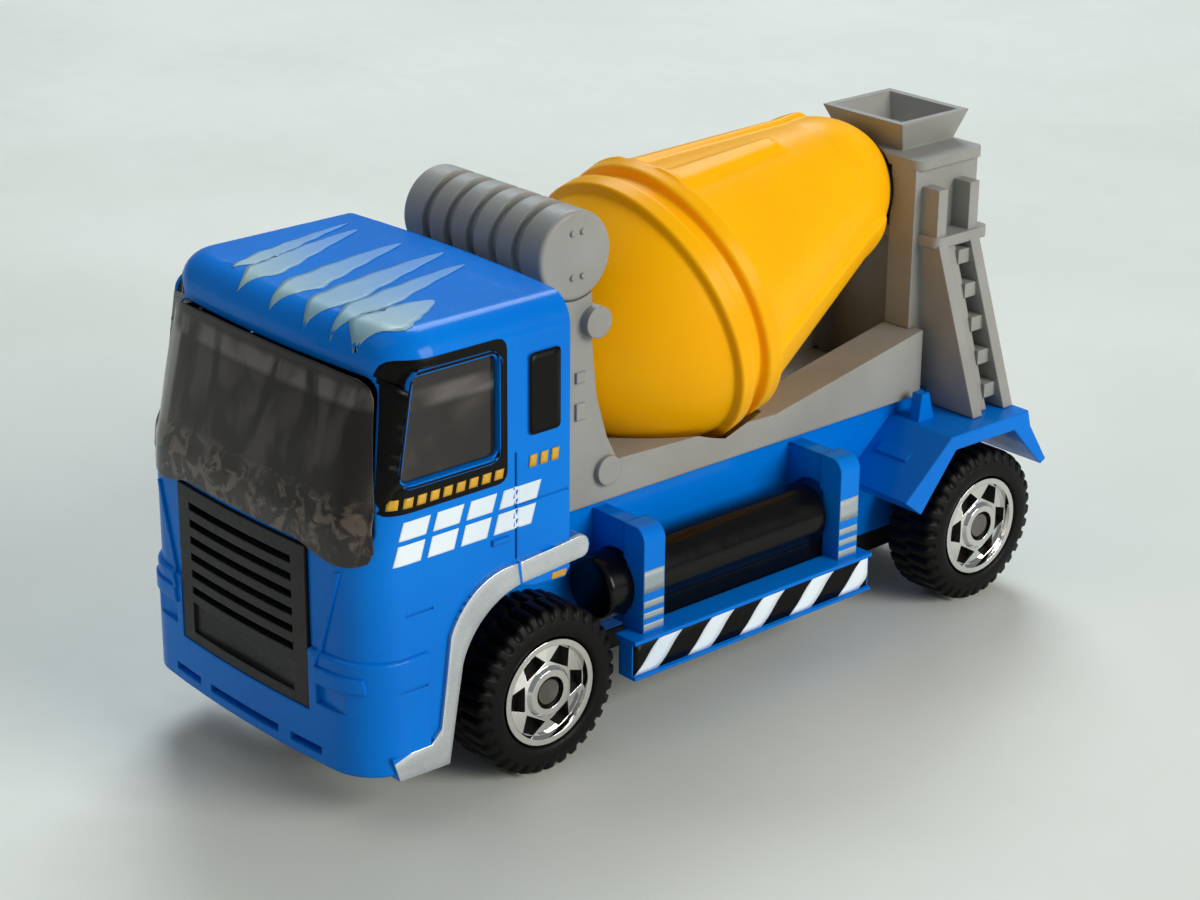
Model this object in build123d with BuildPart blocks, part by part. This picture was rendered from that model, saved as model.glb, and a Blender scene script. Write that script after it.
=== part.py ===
from build123d import *
import os
from math import atan2, cos, degrees, hypot, radians, sin

# A die-cast toy cement mixer truck. Millimetres. The front faces -Y, the driver's (left) side is +X,
# +Z is up, and the origin is on the ground under the middle of the truck.

# ---- driving dimensions -------------------------------------------------------------------------
body_length = 71.5
body_width = 27.8
front_overhang = 17.4        # bumper face to front axle
rear_overhang = 7.35         # rear axle to fender tip
wheel_radius = 6.5
tyre_width = 5.0
axle_radius = 0.6
casting_wall = 1.1           # die-cast wall
frame_top_wall = 1.9         # thicker, as the drum's hollow is cut into it
step_proud = 0.3             # how far bumper, trim, skirts and fenders stand proud of the cab side
drum_rear_height = 34.92     # height of the drum axis at the front of the tower
drum_ridge_radius = 11.45    # outside of the two ridges round the drum
drum_axis_height = 27.42     # height of the drum axis over the station drum_y
bed_half_width = 7.8
channel_half_width = 4.0     # the channel along the middle of the bed and between the columns
bed_floor_z = 16.9           # top of the frame, on which the bed sits
roof_z = 36.3

# ---- clearances ---------------------------------------------------------------------------------
shaft_gap = 0.06             # radial, a shaft turning in a hole
moving_gap = 0.35            # between the drum and whatever it turns past
fit_gap = 0.08               # between pieces that are assembled and stay put
wheel_side_gap = 0.25

# ---- stations along Y ---------------------------------------------------------------------------
front_y = -body_length / 2
rear_y = body_length / 2
front_axle_y = front_y + front_overhang
rear_axle_y = rear_y - rear_overhang
side_x = body_width / 2
cab_x = side_x - step_proud
cab_front_y = front_y + step_proud
cab_rear_y = front_axle_y + 1.75
frame_x = 7.0                # outside of the frame side walls
frame_rear_y = rear_y - 2.6
frame_bottom_z = 5.6
tower_front_y = rear_y - 9.75
headboard_rear_y = cab_rear_y + 7.1
headboard_front_y = cab_rear_y + 3.5
drum_y = front_axle_y + 20.85      # station where the drum axis height is given
drum_rise = drum_rear_height - drum_axis_height
drum_run = tower_front_y - drum_y
drum_tilt = degrees(atan2(drum_rise, drum_run))    # mixing drum axis above horizontal, 17.7 degrees

# ---- cab ----------------------------------------------------------------------------------------
cab_bottom_z = 4.8
bumper_top_z = 13.4
screen_bottom_z = 21.2
screen_top_z = 33.4
screen_lean = 3.0            # how far the top of the windscreen lies behind its bottom
corner_radius = 3.6          # cab corners in plan, below the windscreen
roof_corner_radius = 3.4     # the same corners at roof height
front_bow = 0.9              # bulge of the front face over its width
rear_bow = 0.8               # bulge of the cab's rear edge over its width
glass_thickness = 0.9
grille_half_width = 7.8
grille_bottom_z = 8.6
grille_top_z = 21.0

# ---- wheels and axles ---------------------------------------------------------------------------
rim_radius = 4.1
wheel_bore = axle_radius + shaft_gap
axle_head_radius = 0.95
axle_head_length = 0.5
hub_recess_radius = 1.25
hub_recess_depth = 1.0
wheel_inner_x = side_x - 0.1 - tyre_width
wheel_outer_x = side_x - 0.1

# ---- drum profile, measured along its axis from drum_y (s) and from the axis (r) ------------------
ridge_1_s = 0.9              # rear edge of the front ridge, where the two shells meet
ridge_2_s = 3.8              # rear edge of the rear ridge
ridge_width = 1.5
ridge_groove = 0.75          # depth of the groove between the ridges
bowl_front_s = -10.9
bowl_front_r = 3.6
cone_start_r = drum_ridge_radius - 0.95
dome_reach = 1.632           # how far the tip of the dome lies past the front of the tower
dome_tip_s = hypot(drum_run, drum_rise) + dome_reach
dome_mid_s = dome_tip_s - 2.3
cone_end_s = dome_tip_s - 7.0
cone_end_r = 6.35
long_rib_end_s = dome_tip_s - 4.6
short_rib_end_s = cone_end_s - 3.9
drum_wall = 1.0
rib_height = 0.45
long_ribs = (-29, 121, 226)  # degrees round the drum axis, 0 at the top
short_ribs = (14, 166, 285)
journal_radius = 0.8
journal_length = 1.6

# ---- water tank and tower ------------------------------------------------------------------------
tank_radius = 3.35
tank_z = 36.62
tank_y = cab_rear_y + 5.45
tank_half_length = 7.92
tower_top_z = 36.5
hopper_rim_z = 38.97
hopper_half_width = 4.41
hopper_front_y = tower_front_y + 0.5
hopper_rear_y = tower_front_y + 8.5
wall = 1.0                   # plastic wall
column_x = 6.6               # outside of the tower columns

roof_radius = 2.2
bowl_mid_r = 8.35            # bowl radius at s = -6
rim_depth = 1.5
spoke_count = 6
grille_slat_x = 6.2
grille_proud = 0.25
grille_slats = 6
grille_first_slat_z = 12.6
grille_slat_pitch = 1.32
side_tank_x = 9.75
side_tank_z = 11.25
side_tank_radius = 2.5
tank_span = (front_axle_y + 7.0, rear_axle_y - 16.9)
carrier_half = 1.7           # axle carrier, half its length along Y
carrier_top_z = 8.2
base_bottom_z = 3.9
rivet_stations = (front_axle_y + 8.5, rear_axle_y - 6.5)
rivet_radius = 0.8
rivet_head_radius = 1.5
rivet_head_depth = 0.7
rivet_depth = 2.5
rail_lean = 1.25             # how far the ladder rails lean back between platform and deck
tank_grooves = 5
tank_groove_pitch = 2.55
tank_groove_width = 0.95
tank_groove_depth = 0.45

# Sketches on this plane run along the drum axis in X and out from it in Y.
drum_section = Plane(
    origin=(0, drum_y, drum_axis_height),
    x_dir=(0, cos(radians(drum_tilt)), sin(radians(drum_tilt))),
    z_dir=(1, 0, 0),
)
drum_axis = Axis(drum_section.origin, drum_section.x_dir)
journal_plane = Plane(origin=drum_section.origin, z_dir=drum_section.x_dir)

os.makedirs("parts", exist_ok=True)


def write(solid, name):
    """Label a finished piece and write it as STEP."""
    solid.label = name
    export_step(solid, f"parts/{name}.step")


def prism(points, plane, depth, mode=Mode.ADD, corner=0.0):
    """Extrude a closed outline drawn on a plane; corner rounds all its corners."""
    with BuildSketch(plane) as outline:
        with BuildLine():
            Polyline(*points, close=True)
        make_face()
        if corner:
            fillet(outline.vertices(), corner)
    extrude(outline.sketch, amount=depth, mode=mode)


def side_pair(points, x_inner, x_outer, mode=Mode.ADD, corner=0.0):
    """The same (y, z) outline on both sides of the truck, from x_inner out to x_outer."""
    prism(points, Plane.YZ.offset(x_inner), x_outer - x_inner, mode, corner)
    prism(points, Plane.YZ.offset(-x_outer), x_outer - x_inner, mode, corner)


def box(x, y, z, mode=Mode.ADD):
    """A box given by its three (low, high) ranges."""
    with Locations(((x[0] + x[1]) / 2, (y[0] + y[1]) / 2, (z[0] + z[1]) / 2)):
        Box(x[1] - x[0], y[1] - y[0], z[1] - z[0], mode=mode)


def box_pair(x, y, z, mode=Mode.ADD):
    """The same box on both sides of the truck."""
    box(x, y, z, mode)
    box((-x[1], -x[0]), y, z, mode)


def rod(radius, x, y, z, mode=Mode.ADD):
    """A cylinder along X between the two ends in x."""
    with BuildSketch(Plane.YZ.offset(x[0])) as disc:
        with Locations((y, z)):
            Circle(radius)
    extrude(disc.sketch, amount=x[1] - x[0], mode=mode)


def cab_plan(inset, front, radius):
    """Plan outline of the cab: a bowed front with rounded corners."""
    half = cab_x - inset
    back = cab_rear_y - inset
    with BuildSketch() as plan:
        with BuildLine():
            ThreePointArc((-half, front + inset + front_bow), (0, front + inset), (half, front + inset + front_bow))
            Line((half, front + inset + front_bow), (half, back))
            ThreePointArc((half, back), (0, back + rear_bow), (-half, back))
            Line((-half, back), (-half, front + inset + front_bow))
        make_face()
        fillet(plan.vertices().group_by(Axis.Y)[0], max(radius - inset, 0.4))
    return plan.sketch


def cab_column(inset, z, y):
    """The upright lower part of the cab's outside shape, between two heights and two stations."""
    with BuildPart() as column:
        with BuildSketch(Plane.XY.offset(z[0])):
            add(cab_plan(inset, cab_front_y, corner_radius))
        extrude(amount=z[1] - z[0])
        box((-side_x - 1, side_x + 1), y, z, Mode.INTERSECT)
    return column.part


def cab_envelope(inset, bottom, top):
    """The cab's outside shape moved inwards by inset: upright, leaning along the windscreen, upright again."""
    with BuildPart() as cab:
        with BuildSketch(Plane.XY.offset(bottom)):
            add(cab_plan(inset, cab_front_y, corner_radius))
        extrude(amount=screen_bottom_z - bottom)
        with BuildSketch(Plane.XY.offset(screen_bottom_z)):
            add(cab_plan(inset, cab_front_y, corner_radius))
        with BuildSketch(Plane.XY.offset(screen_top_z)):
            add(cab_plan(inset, cab_front_y + screen_lean, roof_corner_radius))
        loft()
        with BuildSketch(Plane.XY.offset(screen_top_z)):
            add(cab_plan(inset, cab_front_y + screen_lean, roof_corner_radius))
        extrude(amount=top - screen_top_z)
        rounding = min(roof_radius, roof_corner_radius - 0.1) - inset
        if rounding > 0.2:
            fillet(cab.faces().sort_by(Axis.Z)[-1].edges().sort_by(Axis.Y)[:-1], rounding)
    return cab.part


def cab_slice(inset, z, y=(front_y - 2, cab_rear_y + 2)):
    """A level slice of the cab envelope between two heights and two stations."""
    with BuildPart() as piece:
        add(cab_envelope(inset, cab_bottom_z, roof_z - max(inset, 0)))
        box((-side_x - 1, side_x + 1), y, z, Mode.INTERSECT)
    return piece.part


def drum_sweep(grow):
    """The space the turning drum fills, grown by grow all round, for cutting its neighbours."""
    reach = drum_ridge_radius + grow
    with BuildPart() as sweep:
        with BuildSketch(drum_section):
            with BuildLine():
                Polyline((bowl_front_s - grow, 0), (bowl_front_s - grow, bowl_front_r + grow))
                ThreePointArc((bowl_front_s - grow, bowl_front_r + grow), (-6.0 - grow / 2, bowl_mid_r + grow), (ridge_1_s - ridge_width - grow, reach))
                Polyline((ridge_1_s - ridge_width - grow, reach), (ridge_2_s + grow, reach))
                Polyline((ridge_2_s + grow, reach), (ridge_2_s + grow, cone_start_r + rib_height + grow))
                Polyline((ridge_2_s + grow, cone_start_r + rib_height + grow), (cone_end_s, cone_end_r + rib_height + grow))
                ThreePointArc((cone_end_s, cone_end_r + rib_height + grow), (dome_mid_s, 4.4 + grow), (dome_tip_s + grow, 0))
                Line((dome_tip_s + grow, 0), (bowl_front_s - grow, 0))
            make_face()
        revolve(axis=drum_axis)
    return sweep.part


# ---- body casting: cab shell, frame, posts, skirts and fenders in one die-cast piece --------------
arch_y = front_axle_y
fender_y = rear_axle_y
skirt_y = (front_axle_y + 7.95, rear_axle_y - 13.5)
post_stations = (front_axle_y + 9.38, rear_axle_y - 16.64)
drum_space = drum_sweep(moving_gap)

with BuildSketch(Plane.YZ) as arch_band:
    with BuildLine():
        Polyline(
            (arch_y - 9.63, 4.2), (arch_y - 13.95, 4.3), (arch_y - 14.6, 6.2), (arch_y - 11.2, 6.2),
            (arch_y - 10.2, 7.2), (arch_y - 9.27, 14.0),
        )
        ThreePointArc((arch_y - 9.27, 14.0), (arch_y - 7.6, 16.35), (arch_y - 4.73, 17.65))
        Line((arch_y - 4.73, 17.65), (arch_y + 2.6, 18.25))
        ThreePointArc((arch_y + 2.6, 18.25), (arch_y + 3.35, 17.4), (arch_y + 2.8, 16.6))
        Line((arch_y + 2.8, 16.6), (arch_y - 1.94, 16.24))
        ThreePointArc((arch_y - 1.94, 16.24), (arch_y - 6.1, 14.75), (arch_y - 8.29, 11.56))
        Line((arch_y - 8.29, 11.56), (arch_y - 9.63, 4.2))
    make_face()

with BuildSketch(Plane.YZ) as arch_opening:
    with BuildLine():
        Line((arch_y - 9.63, 4.2), (arch_y - 8.29, 11.56))
        ThreePointArc((arch_y - 8.29, 11.56), (arch_y - 6.1, 14.75), (arch_y - 3.1, 15.95))
        Polyline(
            (arch_y - 3.1, 15.95), (arch_y - 1.6, 15.5), (arch_y + 1.3, 15.35), (arch_y + 2.3, 16.6), (arch_y + 5, 16.6),
            (arch_y + 5, 0), (arch_y - 9.63, 0), (arch_y - 9.63, 4.2),
        )
    make_face()

with BuildPart() as bumper:
    add(cab_column(-step_proud, (cab_bottom_z, bumper_top_z), (front_y - 1, arch_y - 11.2)))
    lip = bumper.faces().sort_by(Axis.Z)[-1].outer_wire().edges().sort_by(Axis.Y)[:-1]
    fillet(lip, 0.25)

screen_outline = [(-12.9, 21.6), (12.9, 21.6), (11.6, 33.2), (-11.6, 33.2)]
side_window = [(arch_y - 13.4, 26.1), (arch_y - 4.75, 26.1), (arch_y - 4.75, 33.7), (arch_y - 12.1, 33.7)]

with BuildPart() as body_casting:
    add(cab_envelope(0, cab_bottom_z, roof_z))
    add(bumper.part)
    add(cab_envelope(casting_wall, cab_bottom_z - 1, roof_z - casting_wall), mode=Mode.SUBTRACT)
    extrude(arch_opening.sketch, amount=side_x + 1, both=True, mode=Mode.SUBTRACT)
    # trim band round each wheel arch
    for x_start in (cab_x - casting_wall, -side_x):
        with BuildSketch(Plane.YZ.offset(x_start)):
            add(arch_band.sketch_local)
        extrude(amount=casting_wall + step_proud)
    # windscreen, side windows and the grille opening
    prism(screen_outline, Plane.XZ.offset(-cab_front_y - 5), 10, Mode.SUBTRACT, corner=1.2)
    side_pair(side_window, cab_x - 3, side_x + 1, Mode.SUBTRACT, corner=0.9)
    box((-grille_half_width, grille_half_width), (front_y - 1, cab_front_y + 5), (grille_bottom_z, grille_top_z), Mode.SUBTRACT)
    # bumper air slots and fog light pockets
    for slot_x, slot_width in ((0, 8.4), (7.3, 3.4), (-7.3, 3.4)):
        box((slot_x - slot_width / 2, slot_x + slot_width / 2), (front_y - 1, front_y + 1.3), (5.5, 6.1), Mode.SUBTRACT)
    box_pair((8.6, 12.6), (front_y - 1, front_y + 0.75), (9.4, 10.9), Mode.SUBTRACT)
    # beads round the side windows, door shut lines, door handles and quarter panels
    for x_start in (cab_x - 0.2, -cab_x - 0.2):
        with BuildSketch(Plane.YZ.offset(x_start)) as bead:
            with BuildLine():
                Polyline(*side_window, close=True)
            make_face()
            fillet(bead.vertices(), 0.9)
            offset(amount=0.32, mode=Mode.ADD)
            with BuildLine():
                Polyline(*side_window, close=True)
            make_face(mode=Mode.SUBTRACT)
        extrude(amount=0.4)
    box_pair((cab_x - 0.15, cab_x + 0.1), (arch_y - 3.3, arch_y - 3.12), (18.0, 26.0), Mode.SUBTRACT)
    box_pair((cab_x - 0.12, cab_x + 0.1), (arch_y - 3.2, cab_rear_y + 1), (22.0, 22.15), Mode.SUBTRACT)
    box_pair((cab_x - 0.1, cab_x + 0.2), (arch_y - 5.4, arch_y - 3.9), (19.6, 20.0))
    box_pair((side_x - 0.12, side_x + 0.1), (arch_y - 14.0, arch_y - 11.4), (10.9, 11.05), Mode.SUBTRACT)
    box_pair((cab_x - 0.12, cab_x + 0.1), (arch_y - 13.0, arch_y - 10.6), (16.4, 16.55), Mode.SUBTRACT)
    side_pair([(arch_y - 2.05, 27.0), (arch_y + 0.75, 27.0), (arch_y + 0.75, 33.0), (arch_y - 2.05, 33.0)], cab_x - 0.1, cab_x + 0.15, corner=0.3)
    # frame: a channel open below, from behind the front wheel arch to the tail
    box((-frame_x, frame_x), (arch_y - 7.5, frame_rear_y), (frame_bottom_z, bed_floor_z))
    box(
        (-frame_x + casting_wall, frame_x - casting_wall),
        (arch_y - 7.5 + casting_wall, frame_rear_y - casting_wall),
        (frame_bottom_z - 1, bed_floor_z - frame_top_wall),
        Mode.SUBTRACT,
    )
    # rear deck, fenders and the slanted panels ahead of the rear wheels
    side_pair(
        [(fender_y - 9.79, 11.25), (fender_y - 4.6, 15.6), (fender_y + 3.4, 15.6), (fender_y + 4.7, 15.65),
         (fender_y + 5.1, 14.2), (rear_y, 10.72), (rear_y - 0.57, 10.39), (fender_y + 5.91, 11.23),
         (fender_y + 3.1, 14.3), (fender_y - 4.04, 14.4), (fender_y - 7.9, 9.8)],
        frame_x - 0.5, side_x,
    )
    side_pair([(fender_y - 7.3, 13.5), (fender_y - 6.5, 14.1), (fender_y - 6.1, 13.4), (fender_y - 7, 12.7)], frame_x + 1, frame_x + 4.4)
    # lugs on the deck beside the bed
    side_pair([(fender_y - 4.2, 15.2), (fender_y - 2.2, 15.2), (fender_y - 3.0, 17.9), (fender_y - 3.9, 17.9)], 8.8, 9.8)
    # skirts: a recessed web between a top and a bottom flange
    box_pair((12.1, side_x - 0.35), skirt_y, (4.9, 8.06))
    box_pair((11.6, side_x), skirt_y, (7.76, 8.06))
    box_pair((12.1, side_x), skirt_y, (4.9, 5.12))
    # posts: a recessed plate out to a thicker pillar
    for post_y in post_stations:
        box_pair((frame_x - 0.5, 11.2), (post_y + 0.35, post_y + 1.75), (8.0, 16.2))
        for x_start in (10.9, -13.16):
            post_face = [(x_start, 7.8), (x_start + 2.26, 7.8), (x_start + 2.26, 16.4), (x_start, 16.4)]
            prism(post_face, Plane.XZ.offset(-post_y), -2.1)
    post_tops = body_casting.edges().filter_by(Axis.Y).filter_by_position(Axis.Z, 16.35, 16.45)
    fillet([edge for edge in post_tops if abs(abs(edge.center().X) - 13.16) < 0.01], 1.1)
    # clearance for the side tanks, the axles, the drum and the base plate's bosses
    for tank_x in (side_tank_x, -side_tank_x):
        with BuildSketch(Plane.XZ.offset(-skirt_y[0] + 3)):
            with Locations((tank_x, side_tank_z)):
                Circle(side_tank_radius + fit_gap)
            with Locations((tank_x + (6.3 if tank_x > 0 else -6.3), side_tank_z)):
                Rectangle(9.7 - 0.2, 12, mode=Mode.SUBTRACT)
        extrude(amount=-(skirt_y[1] - skirt_y[0] + 1), mode=Mode.SUBTRACT)
    for axle_y in (front_axle_y, rear_axle_y):
        box((-frame_x - 1, frame_x + 1), (axle_y - carrier_half - fit_gap, axle_y + carrier_half + fit_gap), (0, carrier_top_z + fit_gap), Mode.SUBTRACT)
        # keeper ribs hold the axle down in its channel
        for rib_x in (-4.5, 4.5):
            box((rib_x - 0.5, rib_x + 0.5), (axle_y - axle_radius, axle_y + axle_radius), (wheel_radius + axle_radius + shaft_gap, bed_floor_z - 0.5))
    # rivet posts
    for rivet_y in rivet_stations:
        with BuildSketch(Plane.XY.offset(frame_bottom_z)):
            with Locations((0, rivet_y)):
                Circle(1.9)
        extrude(amount=bed_floor_z - 0.5 - frame_bottom_z)
        with BuildSketch(Plane.XY.offset(frame_bottom_z - 1)):
            with Locations((0, rivet_y)):
                Circle(rivet_radius)
        extrude(amount=rivet_depth + 1, mode=Mode.SUBTRACT)
    add(drum_space, mode=Mode.SUBTRACT)
write(body_casting.part, "body_casting")

# ---- base plate: black plastic underside with the axle channels -----------------------------------
with BuildPart() as base_plate:
    box((-frame_x, frame_x), (arch_y - 7.5, frame_rear_y), (base_bottom_z, frame_bottom_z - fit_gap))
    add(cab_column(casting_wall + fit_gap, (cab_bottom_z, cab_bottom_z + 1.2), (front_y, arch_y - 9.8)))
    box((-frame_x, frame_x), (arch_y - 10.5, arch_y - 7), (cab_bottom_z - 0.4, frame_bottom_z - fit_gap))
    for axle_y in (front_axle_y, rear_axle_y):
        box((-wheel_inner_x + wheel_side_gap, wheel_inner_x - wheel_side_gap), (axle_y - carrier_half, axle_y + carrier_half), (base_bottom_z + 0.6, carrier_top_z))
        box((-side_x, side_x), (axle_y - wheel_bore, axle_y + wheel_bore), (wheel_radius, carrier_top_z + 1), Mode.SUBTRACT)
        rod(wheel_bore, (-side_x, side_x), axle_y, wheel_radius, Mode.SUBTRACT)
    for rivet_y in rivet_stations:
        with Locations(Location((0, rivet_y, base_bottom_z), (180, 0, 0))):
            CounterBoreHole(rivet_radius + fit_gap, rivet_head_radius + fit_gap, rivet_head_depth)
write(base_plate.part, "base_plate")

with BuildPart() as rivets:
    for rivet_y in rivet_stations:
        with BuildSketch(Plane.XY.offset(base_bottom_z + 0.1)):
            with Locations((0, rivet_y)):
                Circle(rivet_head_radius)
        extrude(amount=rivet_head_depth - 0.1)
        with BuildSketch(Plane.XY.offset(base_bottom_z + 0.1)):
            with Locations((0, rivet_y)):
                Circle(rivet_radius - 0.02)
        extrude(amount=frame_bottom_z + rivet_depth - base_bottom_z - 0.2)
write(rivets.part, "rivets")

# ---- side tanks: black plastic cylinders between the frame and the skirts -------------------------
for side, name in ((1, "side_tank_left"), (-1, "side_tank_right")):
    with BuildPart() as side_tank:
        with BuildSketch(Plane.XZ.offset(-tank_span[0])):
            with Locations((side * side_tank_x, side_tank_z)):
                Circle(side_tank_radius)
        extrude(amount=tank_span[0] - tank_span[1])
        fillet(side_tank.edges().filter_by(GeomType.CIRCLE), 0.5)
        post_y = post_stations[0]
        post_x = sorted((side * (10.9 - fit_gap), side * 14))
        box(post_x, (post_y - fit_gap, post_y + 2.1 + fit_gap), (7, 17), Mode.SUBTRACT)
        # cradle that closes the gap between the tank and the skirt
        cradle_x = sorted((side * (frame_x + fit_gap), side * (11.6 - fit_gap)))
        box(cradle_x, (post_y + 2.1 + fit_gap, post_stations[1] - fit_gap), (7.6, side_tank_z - 1))
    write(side_tank.part, name)

# ---- grille: black plastic insert with curved slats ------------------------------------------------
with BuildPart() as front_grille:
    grille_z = (grille_bottom_z + fit_gap, grille_top_z - fit_gap)
    grille_x = grille_half_width - fit_gap
    add(cab_column(-grille_proud, grille_z, (front_y, cab_front_y + 4)))
    add(cab_column(casting_wall - 0.2, grille_z, (front_y, cab_front_y + 5)), mode=Mode.SUBTRACT)
    box((-grille_x, grille_x), (front_y - 1, cab_front_y + 4), grille_z, Mode.INTERSECT)
    for index in range(grille_slats):
        slat_z = grille_first_slat_z + index * grille_slat_pitch
        box((-grille_slat_x, grille_slat_x), (front_y - 1, cab_front_y + 0.55), (slat_z, slat_z + grille_slat_pitch * 0.45), Mode.SUBTRACT)
    box((-grille_slat_x, grille_slat_x), (front_y - 1, cab_front_y + 0.15), (grille_bottom_z + 0.9, grille_first_slat_z - 0.7), Mode.SUBTRACT)
write(front_grille.part, "front_grille")

# ---- glazing: one smoked clear moulding behind the windscreen and the side windows ------------------
glazing_outer = casting_wall + fit_gap
with BuildPart() as screen_plug:
    # the pane stands out into the windscreen opening, nearly flush with the cab
    add(cab_slice(0.05, (grille_top_z, 35)))
    add(cab_slice(glazing_outer + 0.2, (grille_top_z - 1, 36)), mode=Mode.SUBTRACT)
    with BuildSketch(Plane.XZ.offset(-cab_front_y - 5)) as opening:
        with BuildLine():
            Polyline(*screen_outline, close=True)
        make_face()
        fillet(opening.vertices(), 1.2)
        offset(amount=-fit_gap, mode=Mode.REPLACE)
    extrude(amount=10, mode=Mode.INTERSECT)

with BuildPart() as cab_glazing:
    add(cab_slice(glazing_outer, (grille_top_z + 0.4, 34.4), (front_y, arch_y - 3.4)))
    add(cab_slice(glazing_outer + glass_thickness, (grille_top_z, 36), (front_y, cab_rear_y)), mode=Mode.SUBTRACT)
    add(screen_plug.part)
write(cab_glazing.part, "cab_glazing")

# ---- interior: black moulding with floor, dashboard, seats and the wheel-well skin --------------------
inner = glazing_outer + glass_thickness + fit_gap
with BuildPart() as cab_interior:
    add(cab_slice(casting_wall + fit_gap, (bed_floor_z + fit_gap, 18.3), (front_y, cab_rear_y - casting_wall - fit_gap)))
    add(cab_slice(casting_wall + 0.45, (18.2, 20.9), (front_y, arch_y - 12.6)))
    add(cab_slice(inner, (20.8, 24.3), (front_y, arch_y - 12.2)))
    for seat_x in (-5.6, 5.6):
        box((seat_x - 3, seat_x + 3), (arch_y - 8.6, arch_y - 3.3), (18.2, 20.8))
        prism([(arch_y - 4.3, 20), (arch_y - 1.5, 20), (arch_y - 0.8, 30.2), (arch_y - 2.3, 30.2)], Plane.YZ.offset(seat_x - 2.7), 5.4, corner=0.5)
        box((seat_x - 1.4, seat_x + 1.4), (arch_y - 2.1, arch_y - 1.0), (30.0, 32.2))
    # steering wheel on its column
    wheel_plane = Plane(origin=(5.6, arch_y - 11.3, 24.6), x_dir=(1, 0, 0), z_dir=(0, 0.6, 0.8))
    with BuildSketch(wheel_plane):
        Circle(2.3)
        Circle(1.8, mode=Mode.SUBTRACT)
        Rectangle(4.1, 0.5)
        Circle(0.6)
    extrude(amount=0.45)
    with BuildSketch(wheel_plane):
        Circle(0.5)
    extrude(amount=-2.2)
write(cab_interior.part, "cab_interior")

# ---- mixer bed: grey trough with the headboard behind the cab ----------------------------------------
with BuildPart() as mixer_bed:
    box((-bed_half_width, bed_half_width), (headboard_front_y, tower_front_y - fit_gap), (bed_floor_z, bed_floor_z + wall))
    wall_top = [
        (headboard_front_y, bed_floor_z), (tower_front_y + 0.5, bed_floor_z), (tower_front_y + 0.5, 22.5),
        (tower_front_y - 0.6, 22.3), (drum_y + 7.2, 19.3), (drum_y + 1.9, 19.5), (drum_y - 8.6, 19.9), (headboard_front_y, 19.9),
    ]
    side_pair(wall_top, channel_half_width, bed_half_width)
    box((-column_x - fit_gap, column_x + fit_gap), (tower_front_y - fit_gap, rear_y), (bed_floor_z, 30), Mode.SUBTRACT)
    headboard = [
        (headboard_front_y, bed_floor_z), (headboard_rear_y + 3.4, bed_floor_z), (headboard_rear_y + 2.6, 19.9), (headboard_rear_y + 1.5, 22.1),
        (headboard_rear_y + 0.5, 25.4), (headboard_rear_y, 30.0), (headboard_rear_y, 34.8), (headboard_front_y, 34.8),
    ]
    prism(headboard, Plane.YZ.offset(-bed_half_width), 2 * bed_half_width)
    box((-bed_half_width + 1.6, bed_half_width - 1.6), (headboard_front_y - 1, headboard_rear_y - 1.6), (18.5, 32.0), Mode.SUBTRACT)
    rod(tank_radius + fit_gap, (-bed_half_width - 1, bed_half_width + 1), tank_y, tank_z, Mode.SUBTRACT)
    # boss and bead on the outside of each headboard pillar
    for side in (1, -1):
        ends = sorted((side * (bed_half_width - 1), side * (bed_half_width + 0.75)))
        rod(1.2, ends, headboard_rear_y + 0.1, 31.4)
        bead_ends = sorted((side * (bed_half_width - 1), side * (bed_half_width + 0.45)))
        rod(1.15, bead_ends, headboard_rear_y + 1.5, 19.4)
    box_pair((bed_half_width - 0.5, bed_half_width + 0.2), (headboard_rear_y - 1.6, headboard_rear_y - 0.7), (24.0, 25.3))
    box_pair((bed_half_width - 0.5, bed_half_width + 0.2), (headboard_rear_y - 1.6, headboard_rear_y - 0.7), (26.9, 27.7))
    # space for the drum and the bearing of its front journal
    add(drum_space, mode=Mode.SUBTRACT)
    with BuildSketch(journal_plane):
        Circle(journal_radius + shaft_gap)
    extrude(amount=bowl_front_s - moving_gap - journal_length - 0.4, mode=Mode.SUBTRACT)
write(mixer_bed.part, "mixer_bed")

# ---- water tank: ribbed cylinder lying across the truck on the headboard ------------------------------
with BuildPart() as water_tank:
    rod(tank_radius, (-tank_half_length, tank_half_length), tank_y, tank_z)
    fillet(water_tank.edges().filter_by(GeomType.CIRCLE), 0.35)
    for index in range(tank_grooves):
        groove_x = (index - (tank_grooves - 1) / 2) * tank_groove_pitch
        with BuildSketch(Plane.YZ.offset(groove_x - tank_groove_width / 2)) as groove:
            with Locations((tank_y, tank_z)):
                Circle(tank_radius + 1)
                Circle(tank_radius - tank_groove_depth, mode=Mode.SUBTRACT)
        extrude(groove.sketch, amount=tank_groove_width, mode=Mode.SUBTRACT)
    for side in (1, -1):
        for pip_z in (tank_z - 1.55, tank_z + 1.75):
            for pip_y in (tank_y - 0.35, tank_y + 0.6):
                rod(0.22, sorted((side * (tank_half_length - 0.5), side * (tank_half_length + 0.15))), pip_y, pip_z)
write(water_tank.part, "water_tank")

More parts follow.
